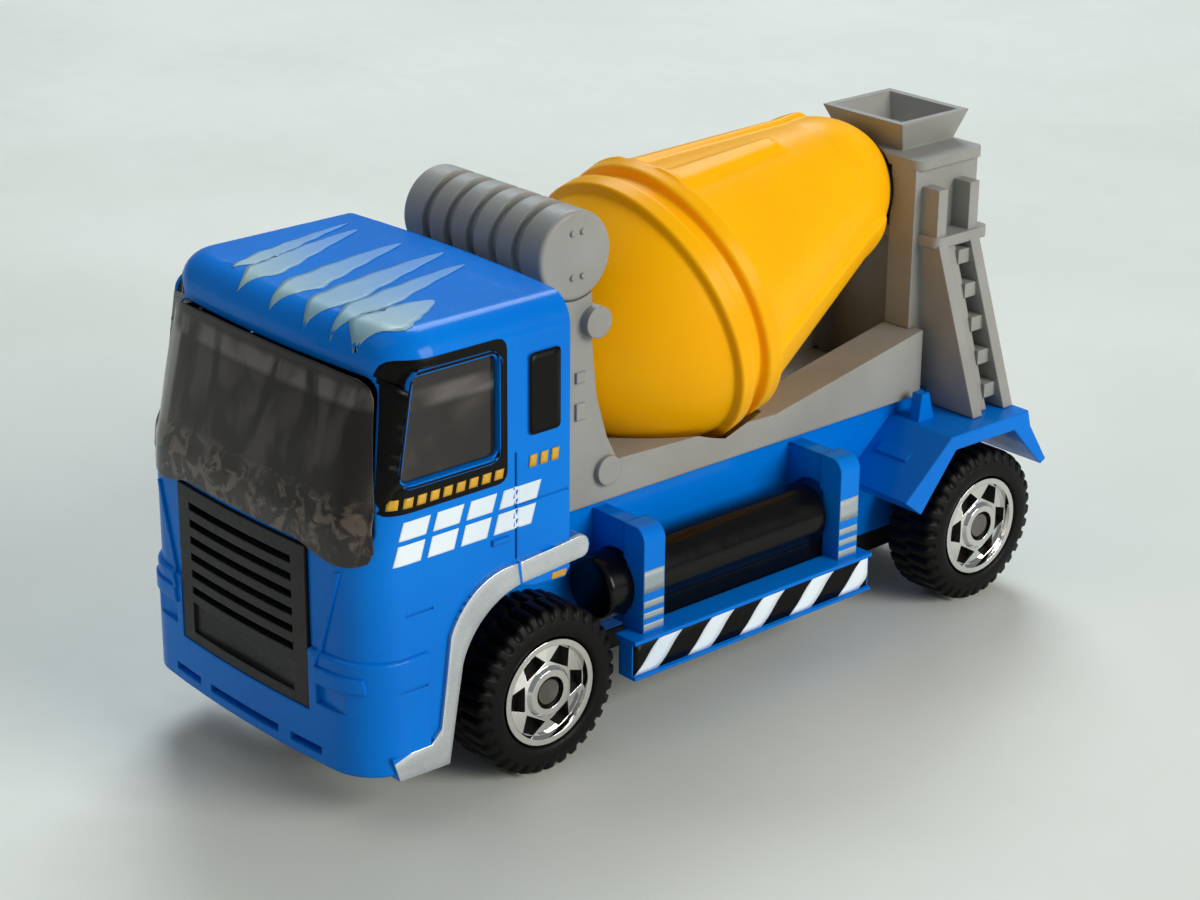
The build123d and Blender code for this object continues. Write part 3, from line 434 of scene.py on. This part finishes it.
# The windscreen's outer skin is opaque and painted nearly black: painted shade standing for the dark
# cab seen through the styrene. The seats, the dashboard and the visor edge, which would show through it,
# are drawn in its colour as brown-grey smears 1 to 3 mm wide; a pale strip in it is painted light.
# opaque pane colour: painted shade of the cab interior behind the glass
screen_painted_shade = finish(
    "styrene_screen_painted_shade", "#1E1A18", "#292422", (0.05, 0.12), 2.0, 0.0005,
    IOR=1.59, Specular_IOR_Level=0.28,
)
tree = screen_painted_shade.node_tree
shader = next(n for n in tree.nodes if n.type == "BSDF_PRINCIPLED")
tone = next(n for n in tree.nodes if n.type == "MIX")
coords = place(tree, "ShaderNodeTexCoord").outputs["Object"]
spot = place(tree, "ShaderNodeSeparateXYZ", {0: coords})
stretched = place(tree, "ShaderNodeMapping", {"Vector": coords, "Scale": (1.0, 0.3, 0.45)})
smears = place(
    tree, "ShaderNodeTexNoise",
    {"Vector": stretched.outputs[0], "Scale": 300.0, "Detail": 2.5, "Distortion": 0.9},
)
lumps = place(
    tree, "ShaderNodeTexNoise", {"Vector": coords, "Scale": 620.0, "Detail": 3.0, "Distortion": 1.6},
)


def band(value, points):
    """How strongly a mark shows along one axis: (place in mm, strength) pairs joined smoothly."""
    ramp = place(tree, "ShaderNodeValToRGB", {0: place(tree, "ShaderNodeMapRange", {
        "Value": value, "From Min": points[0][0] * MM, "From Max": points[-1][0] * MM,
    }).outputs[0]})
    ramp.color_ramp.interpolation = "EASE"
    span = points[-1][0] - points[0][0]
    while len(ramp.color_ramp.elements) < len(points):
        ramp.color_ramp.elements.new(0.5)
    for stop, (at, strength) in zip(ramp.color_ramp.elements, points):
        stop.position = (at - points[0][0]) / span
        stop.color = (strength, strength, strength, 1.0)
    return ramp.outputs[0]


def times(*values):
    """The product of several masks."""
    total = values[0]
    for value in values[1:]:
        total = place(tree, "ShaderNodeMath", {0: total, 1: value}, operation="MULTIPLY").outputs[0]
    return total


def contrast(noise, low, high):
    """A noise made into a mask between two of its levels."""
    return place(
        tree, "ShaderNodeMapRange", {"Value": noise.outputs[0], "From Min": low, "From Max": high},
        interpolation_type="SMOOTHSTEP",
    ).outputs[0]


dashboard = times(
    band(spot.outputs["Z"], ((20.4, 0.25), (21.6, 0.9), (24.3, 0.8), (25.6, 0.0))),
    contrast(lumps, 0.46, 0.62),
)
seats = times(
    band(spot.outputs["Z"], ((24.0, 0.3), (26.0, 1.0), (30.5, 0.9), (31.6, 0.2))),
    contrast(smears, 0.42, 0.66),
)
visor = times(
    band(spot.outputs["Z"], ((30.9, 0.0), (31.5, 1.0), (32.2, 0.9), (32.8, 0.0))), contrast(smears, 0.3, 0.6),
)
# a pale strip of painted light: the far side window seen through the cab
painted_window_light = times(
    band(spot.outputs["X"], ((-11.6, 0.0), (-11.1, 1.0), (-10.1, 0.9), (-9.6, 0.0))),
    band(spot.outputs["Z"], ((24.2, 0.0), (25.0, 0.8), (30.8, 1.0), (31.8, 0.0))),
)
shade = tone.outputs[2]
# 8E8B89 is painted light from the far window; the other colours are the interior drawn on the painted shade
for mask, colour in ((seats, "#4A4340"), (dashboard, "#6F6258"), (visor, "#6E6864"), (painted_window_light, "#8E8B89")):
    shade = place(tree, "ShaderNodeMix", {0: mask, 6: shade, 7: linear(colour)}, data_type="RGBA").outputs[2]
tree.links.new(shade, shader.inputs["Base Color"])

# The skin laps over the pillars and dips beside the top of the grille.
screen_skin = surface_tree("body_casting", "cab_glazing", "front_grille")
sill = [(0, 21.3), (6.8, 21.2), (8.2, 20.75), (10.4, 20.35), (12.0, 20.45), (12.9, 20.9), (13.25, 21.8)]
sill = [(-x, z) for x, z in reversed(sill[1:])] + sill
header = [(0, 33.35), (6.0, 33.3), (10.6, 33.15), (11.5, 32.7), (11.8, 32.0)]
header = [(-x, z) for x, z in reversed(header[1:])] + header
screen = (along(sill, 60), along(header, 60))
windscreen = film(
    "windscreen_skin", [screen], screen_painted_shade, skin=screen_skin, sides=(1,), facing="y",
    lift=0.16, thick=0.14, across=40, bevel=0.05,
)
bm = bmesh.new()
bm.from_mesh(windscreen.data)
for _ in range(6):
    # the sheet bridges the steps below it: each point comes as far forward as those above and below
    forward = {}
    for v in bm.verts:
        beside = [e.other_vert(v) for e in v.link_edges]
        forward[v] = min(
            [v.co.y] + [w.co.y for w in beside if abs(w.co.z - v.co.z) > 2 * abs(w.co.x - v.co.x)]
        )
    for v, y in forward.items():
        v.co.y = y
for _ in range(8):
    bmesh.ops.smooth_vert(bm, verts=bm.verts, factor=0.5, use_axis_y=True)
bm.to_mesh(windscreen.data)
bm.free()

# The same opaque skin, with the same painted shade, stands nearly flush in the side windows.
pane_x = 13.36            # outer face of the side panes, in mm from the middle
flat_sides = BVHTree.FromPolygons(
    [
        Vector((side * pane_x * MM, y, z)) for side in (1, -1)
        for y, z in ((-0.04, 0.01), (0.04, 0.01), (0.04, 0.05), (-0.04, 0.05))
    ],
    [(0, 1, 2, 3), (4, 5, 6, 7)],
)
front_edge = along(
    [(-31.3, 26.22), (-31.6, 26.3), (-31.64, 26.6), (-30.45, 33.2), (-30.3, 33.5), (-29.9, 33.58)], 24,
)
rear_edge = along(
    [(-23.6, 26.22), (-23.3, 26.3), (-23.22, 26.6), (-23.22, 33.2), (-23.3, 33.5), (-23.6, 33.58)], 24,
)
side_panes = film(
    "side_panes", [(front_edge, rear_edge)], screen_painted_shade, skin=flat_sides, lift=0.0, thick=0.3, across=12,
    bevel=0.05,
)

interior_black = finish(
    "black_interior_styrene", "#46403A", "#38332E", (0.45, 0.6), 0.5, 0.01, edge=0.15, Specular_IOR_Level=0.3,
)
coat("cab_interior", interior_black)

# ---- Base plate, rivets and side tanks ------------------------------------------------------------
# The underside is a black plastic plate held by two mushroomed rivets. The side tanks are glossy
# black cylinders moulded with it.
base_black = finish(
    "black_abs_matt", "#100F0E", "#0B0A0A", (0.5, 0.62), 0.4, 0.014, edge=0.12, Specular_IOR_Level=0.2,
)
coat("base_plate", base_black)
tank_black = finish("black_abs_gloss", "#060505", "#090807", (0.16, 0.24), 1.6, 0.004, Specular_IOR_Level=0.2)
for name in ("side_tank_left", "side_tank_right"):
    coat(name, tank_black)
rivet_steel = finish("zinc_plated_steel", "#A9A7A2", "#8F8D88", (0.28, 0.42), 0.3, 0.01, Metallic=1.0)
coat("rivets", rivet_steel)

# ---- Bed, water tank and tower --------------------------------------------------------------------
# Grey ABS mouldings. Thin walls let a little light into the plastic, which warms the shaded sides.
grey_abs = finish(
    "grey_abs_satin", "#989893", "#908F89", (0.4, 0.5), 0.45, 0.012, edge=0.2,
    Subsurface_Weight=0.12, Subsurface_Scale=0.0012, IOR=1.53, Specular_IOR_Level=0.35,
)
for name in ("mixer_bed", "water_tank", "rear_tower"):
    coat(name, grey_abs)

# ---- Mixing drum ----------------------------------------------------------------------------------
# Two orange-yellow mouldings meet behind the front ridge. Each is a turned shape with soft edges; the
# rear one has three long and three short flat ribs along its cone.
weld = 1e-06              # points closer than this, in metres, are one point


def profile_piece(name, points):
    """A line of edges with its points given as (radius, station) in mm."""
    mesh = bpy.data.meshes.new(name)
    mesh.from_pydata(
        [(r * MM, s * MM, 0) for r, s in points], [(i, i + 1) for i in range(len(points) - 1)], [],
    )
    piece = bpy.data.objects.new(name, mesh)
    scene.collection.objects.link(piece)
    return piece


def turning_tree(name, sizes, relief):
    """Geometry nodes that turn a profile about its axis; relief adds to the radius over the surface."""
    tree = bpy.data.node_groups.new(name, "GeometryNodeTree")
    tree.interface.new_socket("Profile", in_out="INPUT", socket_type="NodeSocketGeometry")
    for label, kind in sizes:
        tree.interface.new_socket(label, in_out="INPUT", socket_type=kind)
    tree.interface.new_socket("Turned", in_out="OUTPUT", socket_type="NodeSocketGeometry")
    given = place(tree, "NodeGroupInput").outputs
    line = place(tree, "GeometryNodeMeshToCurve", {"Mesh": given["Profile"]})
    grid = place(tree, "GeometryNodeMeshGrid", {
        "Size X": 1.0, "Size Y": 1.0, "Vertices X": given["Steps Along"], "Vertices Y": given["Steps Round"],
    })
    spot = place(tree, "ShaderNodeSeparateXYZ", {0: place(tree, "GeometryNodeInputPosition").outputs[0]})
    share = place(tree, "ShaderNodeMath", {0: spot.outputs["X"], 1: 0.5}, operation="ADD")
    angle = place(tree, "ShaderNodeMath", {0: spot.outputs["Y"], 1: 2 * pi, 2: pi}, operation="MULTIPLY_ADD")
    sample = place(
        tree, "GeometryNodeSampleCurve", {"Curves": line.outputs[0], "Factor": share.outputs[0]},
        mode="FACTOR",
    )
    point = place(tree, "ShaderNodeSeparateXYZ", {0: sample.outputs["Position"]})
    radius = relief(tree, given, point.outputs["X"], point.outputs["Y"], angle.outputs[0])
    sine = place(tree, "ShaderNodeMath", {0: angle.outputs[0]}, operation="SINE")
    cosine = place(tree, "ShaderNodeMath", {0: angle.outputs[0]}, operation="COSINE")
    across = place(tree, "ShaderNodeMath", {0: radius, 1: sine.outputs[0]}, operation="MULTIPLY")
    upward = place(tree, "ShaderNodeMath", {0: radius, 1: cosine.outputs[0]}, operation="MULTIPLY")
    drop = place(tree, "ShaderNodeMath", {0: upward.outputs[0], 1: -1.0}, operation="MULTIPLY")
    where = place(
        tree, "ShaderNodeCombineXYZ", {0: across.outputs[0], 1: drop.outputs[0], 2: point.outputs["Y"]},
    )
    bent = place(tree, "GeometryNodeSetPosition", {"Geometry": grid.outputs[0], "Position": where.outputs[0]})
    moved = place(tree, "GeometryNodeTransform", {
        "Geometry": bent.outputs[0], "Translation": given["Centre"], "Rotation": given["Turn"],
    })
    joined = place(tree, "GeometryNodeMergeByDistance", {"Geometry": moved.outputs[0], "Distance": weld})
    smooth = place(tree, "GeometryNodeSetShadeSmooth", {0: joined.outputs[0]})
    solid = place(tree, "GeometryNodeRealizeInstances", {0: smooth.outputs[0]})
    painted = place(
        tree, "GeometryNodeSetMaterial", {"Geometry": solid.outputs[0], "Material": given["Material"]},
    )
    place(tree, "NodeGroupOutput", {"Turned": painted.outputs[0]})
    return tree


def turned(name, points, tree, values, body, cad_node=None):
    """Turn a profile with a tree and make it a plain closed mesh, which stands for a frame node if
    one is given."""
    profile = profile_piece(name + "_profile", points)
    modifier = profile.modifiers.new("turn", "NODES")
    modifier.node_group = tree
    for item in tree.interface.items_tree:
        if item.item_type == "SOCKET" and item.in_out == "INPUT" and item.name in values:
            modifier[item.identifier] = values[item.name]
    bpy.context.view_layer.update()
    mesh = bpy.data.meshes.new_from_object(profile.evaluated_get(bpy.context.evaluated_depsgraph_get()))
    profile.modifiers.remove(modifier)
    bpy.data.objects.remove(profile)
    bm = bmesh.new()
    bm.from_mesh(mesh)
    bmesh.ops.remove_doubles(bm, verts=bm.verts, dist=weld)
    bmesh.ops.recalc_face_normals(bm, faces=bm.faces)
    bm.to_mesh(mesh)
    bm.free()
    piece = bpy.data.objects.new(name, mesh)
    scene.collection.objects.link(piece)
    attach(piece, body)
    if cad_node:
        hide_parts(cad_node)
    return piece


common_sizes = [
    ("Steps Along", "NodeSocketInt"), ("Steps Round", "NodeSocketInt"),
    ("Centre", "NodeSocketVector"), ("Turn", "NodeSocketVector"), ("Material", "NodeSocketMaterial"),
]


def drum_ribs(tree, given, radius, station, angle):
    """Flat raised ribs along the cone: (middle in degrees, width in degrees, rear end in mm)."""
    total = None
    ribs = [
        (-29, 34, 21.7), (121, 34, 21.7), (226, 34, 21.7), (14, 15, 15.4), (166, 15, 15.4), (285, 15, 15.4),
    ]
    for middle, width, end in ribs:
        off = place(tree, "ShaderNodeMath", {0: angle, 1: radians(middle)}, operation="SUBTRACT")
        wrapped = place(tree, "ShaderNodeMath", {0: off.outputs[0], 1: pi, 2: -pi}, operation="WRAP")
        size = place(tree, "ShaderNodeMath", {0: wrapped.outputs[0]}, operation="ABSOLUTE")
        beside = place(tree, "ShaderNodeMapRange", {
            "Value": size.outputs[0], "From Min": radians(width / 2 - 3.0),
            "From Max": radians(width / 2 + 2.0), "To Min": 1.0, "To Max": 0.0,
        }, interpolation_type="SMOOTHSTEP")
        ahead = place(tree, "ShaderNodeMapRange", {
            "Value": station, "From Min": 3.4 * MM, "From Max": 4.4 * MM, "To Min": 0.0, "To Max": 1.0,
        })
        behind = place(tree, "ShaderNodeMapRange", {
            "Value": station, "From Min": (end - 0.35) * MM, "From Max": end * MM, "To Min": 1.0,
            "To Max": 0.0,
        }, interpolation_type="SMOOTHSTEP")
        ends = place(
            tree, "ShaderNodeMath", {0: ahead.outputs[0], 1: behind.outputs[0]}, operation="MULTIPLY",
        )
        rib = place(
            tree, "ShaderNodeMath", {0: beside.outputs[0], 1: ends.outputs[0]}, operation="MULTIPLY",
        ).outputs[0]
        total = rib if total is None else place(
            tree, "ShaderNodeMath", {0: total, 1: rib}, operation="MAXIMUM",
        ).outputs[0]
    return place(
        tree, "ShaderNodeMath", {0: total, 1: given["Rib Height"], 2: radius}, operation="MULTIPLY_ADD",
    ).outputs[0]


# Orange-yellow ABS, half gloss from a polished mould; light goes a little way in and comes out warm.
drum_yellow = finish(
    "yellow_abs_half_gloss", "#FFB800", "#FEB000", (0.3, 0.38), 0.8, 0.01,
    Subsurface_Weight=0.12, Subsurface_Scale=0.0015, IOR=1.53, Specular_IOR_Level=0.1,
)
drum_y = 2.5              # station 0 of the drum's axis, in mm
drum_z = 27.42
drum_tilt = 17.7          # degrees above horizontal
drum_tree = turning_tree("drum_turning", common_sizes + [("Rib Height", "NodeSocketFloat")], drum_ribs)
drum_values = {
    "Steps Along": 230, "Steps Round": 241, "Centre": (0, drum_y * MM, drum_z * MM),
    "Turn": (radians(drum_tilt - 90), 0, 0),
    "Material": drum_yellow, "Rib Height": 0.45 * MM,
}
bowl = [
    (0, -12.5), (0.8, -12.5), (0.8, -10.9), (3.45, -10.9),
] + arc((3.7, -10.8), (8.35, -6.0), (10.75, -0.75), 16)
bowl += [(11.3, -0.62), (11.45, -0.45), (11.45, 0.75), (11.3, 0.9), (10.6, 0.9), (0, 0.9)]
turned("drum_bowl", bowl, drum_tree, drum_values, "drum", "drum_front")
cone = [
    (0, 0.92), (10.72, 0.92), (10.72, 2.2), (11.25, 2.32), (11.4, 2.5), (11.4, 3.65), (11.25, 3.8),
    (10.6, 3.85),
]
cone += [(10.5 - 4.15 * k / 12, 3.9 + 15.4 * k / 12) for k in range(1, 13)]
cone += arc((6.35, 19.3), (4.35, 24.0), (0.8, 26.26), 16)[1:] + [(0.8, 27.9), (0, 27.9)]
turned("drum_cone", cone, drum_tree, drum_values, "drum", "drum_rear")

# ---- Tyres ----------------------------------------------------------------------------------------
# Each wheel is hard black plastic with a smooth sidewall and blocky lugs round both shoulders.


def tyre_lugs(tree, given, radius, station, angle):
    """Blocks round the tread, cut by grooves; the two shoulders are out of step."""
    count = given["Lug Count"]
    shifted = place(tree, "ShaderNodeMath", {0: station, 1: given["Middle"]}, operation="GREATER_THAN")
    phase = place(tree, "ShaderNodeMath", {0: angle, 1: count, 2: 0.0}, operation="MULTIPLY_ADD")
    step = place(
        tree, "ShaderNodeMath", {0: shifted.outputs[0], 1: pi, 2: phase.outputs[0]}, operation="MULTIPLY_ADD",
    )
    wave = place(tree, "ShaderNodeMath", {0: step.outputs[0]}, operation="SINE")
    block = place(tree, "ShaderNodeMapRange", {
        "Value": wave.outputs[0], "From Min": -0.55, "From Max": 0.0, "To Min": 0.0, "To Max": 1.0,
    }, interpolation_type="SMOOTHSTEP")
    tread = place(tree, "ShaderNodeMapRange", {
        "Value": radius, "From Min": 5.55 * MM, "From Max": 5.95 * MM, "To Min": 0.0, "To Max": 1.0,
    })
    groove = place(tree, "ShaderNodeMath", {0: 1.0, 1: block.outputs[0]}, operation="SUBTRACT")
    depth = place(tree, "ShaderNodeMath", {0: groove.outputs[0], 1: tread.outputs[0]}, operation="MULTIPLY")
    cut = place(tree, "ShaderNodeMath", {0: depth.outputs[0], 1: given["Groove Depth"]}, operation="MULTIPLY")
    return place(tree, "ShaderNodeMath", {0: radius, 1: cut.outputs[0]}, operation="SUBTRACT").outputs[0]


tyre_black = finish(
    "black_hard_plastic_wheel", "#0B0908", "#080606", (0.42, 0.55), 0.35, 0.01, IOR=1.5,
    Specular_IOR_Level=0.14,
)
rim_chrome = finish(
    "bright_plated_rim", "#E6E4E0", "#DAD8D5", (0.04, 0.1), 1.5, 0.02, edge=0.08, Metallic=1.0,
)
axle_steel = finish("pressed_steel_pin", "#7C7873", "#5E5A56", (0.3, 0.45), 0.25, 0.02, Metallic=1.0)
tyre_tree = turning_tree(
    "tyre_turning",
    common_sizes + [
        ("Lug Count", "NodeSocketFloat"), ("Groove Depth", "NodeSocketFloat"), ("Middle", "NodeSocketFloat"),
    ],
    tyre_lugs,
)
tyre_profile = [
    (0.66, 8.7), (5.4, 8.7), (5.75, 8.78), (6.3, 9.0), (6.5, 9.3), (6.5, 11.1), (6.5, 13.0), (6.36, 13.3),
    (5.9, 13.52),
    (5.65, 13.6), (5.1, 13.72), (4.7, 13.72), (4.35, 13.62), (4.22, 13.4), (4.18, 12.3), (0.66, 12.3),
    (0.66, 8.7),
]
wheel_radius = 6.5
# a dark ring of bare plastic lies round the pin's head, inside the plated hub
cup_tree = turning_tree("hub_cup_turning", common_sizes, lambda tree, given, radius, station, angle: radius)
cup_profile = [(0.98, 12.84), (1.23, 12.84), (1.23, 13.15), (1.1, 13.2), (0.98, 13.15), (0.98, 12.84)]
for end, axle_y in (("front", -18.35), ("rear", 28.4)):
    for hand, side in (("left", 1), ("right", -1)):
        cup = turned(
            f"hub_cup_{end}_{hand}", cup_profile, cup_tree,
            {
                "Steps Along": 25, "Steps Round": 61, "Centre": (0, axle_y * MM, wheel_radius * MM),
                "Turn": (0, side * pi / 2, 0),
                "Material": tyre_black,
            },
            f"wheel_{end}_{hand}",
        )
        turned(
            f"tyre_{end}_{hand}_treaded", tyre_profile, tyre_tree,
            {
                "Steps Along": 110, "Steps Round": 361, "Centre": (0, axle_y * MM, wheel_radius * MM),
                "Turn": (0, side * pi / 2, 0),
                "Material": tyre_black, "Lug Count": 34.0, "Groove Depth": 0.34 * MM, "Middle": 11.1 * MM,
            },
            f"wheel_{end}_{hand}", f"tyre_{end}_{hand}",
        )
        coat(f"rim_{end}_{hand}", rim_chrome)
    coat(f"{end}_axle", axle_steel)

# ---- Table, light and camera ----------------------------------------------------------------------
# A plain pale sheet, one large soft light on the truck's left, a second behind it that brightens the
# far side of the sheet, and a weak fill.
sheet_mesh = bpy.data.meshes.new("table_sheet")
sheet_mesh.from_pydata([(-2, -2, 0), (2, -2, 0), (2, 2, 0), (-2, 2, 0)], [], [(0, 1, 2, 3)])
table_sheet = bpy.data.objects.new("table_sheet", sheet_mesh)
scene.collection.objects.link(table_sheet)
sheet_mesh.materials.append(finish("pale_paper", "#DDDFD6", "#D6D8CE", (0.45, 0.55), 3.0, 0.01))

world = bpy.data.worlds.new("room")
scene.world = world
world.use_nodes = True
world.node_tree.nodes["Background"].inputs["Color"].default_value = linear("#E4ECF4")
world.node_tree.nodes["Background"].inputs["Strength"].default_value = 0.3


def soft_light(name, place_at, aim, size, power, colour):
    """A square area light aimed at a point."""
    light = bpy.data.lights.new(name, "AREA")
    light.shape = "SQUARE"
    light.size = size
    light.energy = power
    light.color = linear(colour)[:3]
    lamp = bpy.data.objects.new(name, light)
    lamp.location = place_at
    lamp.rotation_euler = (Vector(aim) - Vector(place_at)).to_track_quat("-Z", "Y").to_euler()
    scene.collection.objects.link(lamp)


soft_light("window_light", (0.85, 0.26, 0.42), (0, 0, 0.02), 0.5, 7.4, "#FFFDF8")
soft_light("far_window", (-0.40, 0.34, 0.56), (-0.12, 0.10, 0), 0.36, 3.3, "#EAF6FF")
soft_light("fill_light", (-0.2, -0.35, 0.6), (0, 0, 0.02), 0.5, 0.45, "#FFF6EA")

camera = bpy.data.cameras.new("camera")
camera.lens = 83.26
camera.sensor_width = 36
camera.clip_start = 0.005
camera.clip_end = 20
eye = bpy.data.objects.new("camera", camera)
right, up, back = (0.6624, 0.74911, 0.00785), (-0.28307, 0.24057, 0.92844), (0.69361, -0.61722, 0.37141)
eye.matrix_world = Matrix.Translation((
    0.149935, -0.135098, 0.09719,
)) @ Matrix((right, up, back)).transposed().to_4x4()
scene.collection.objects.link(eye)
scene.camera = eye
scene.view_settings.view_transform = "Standard"
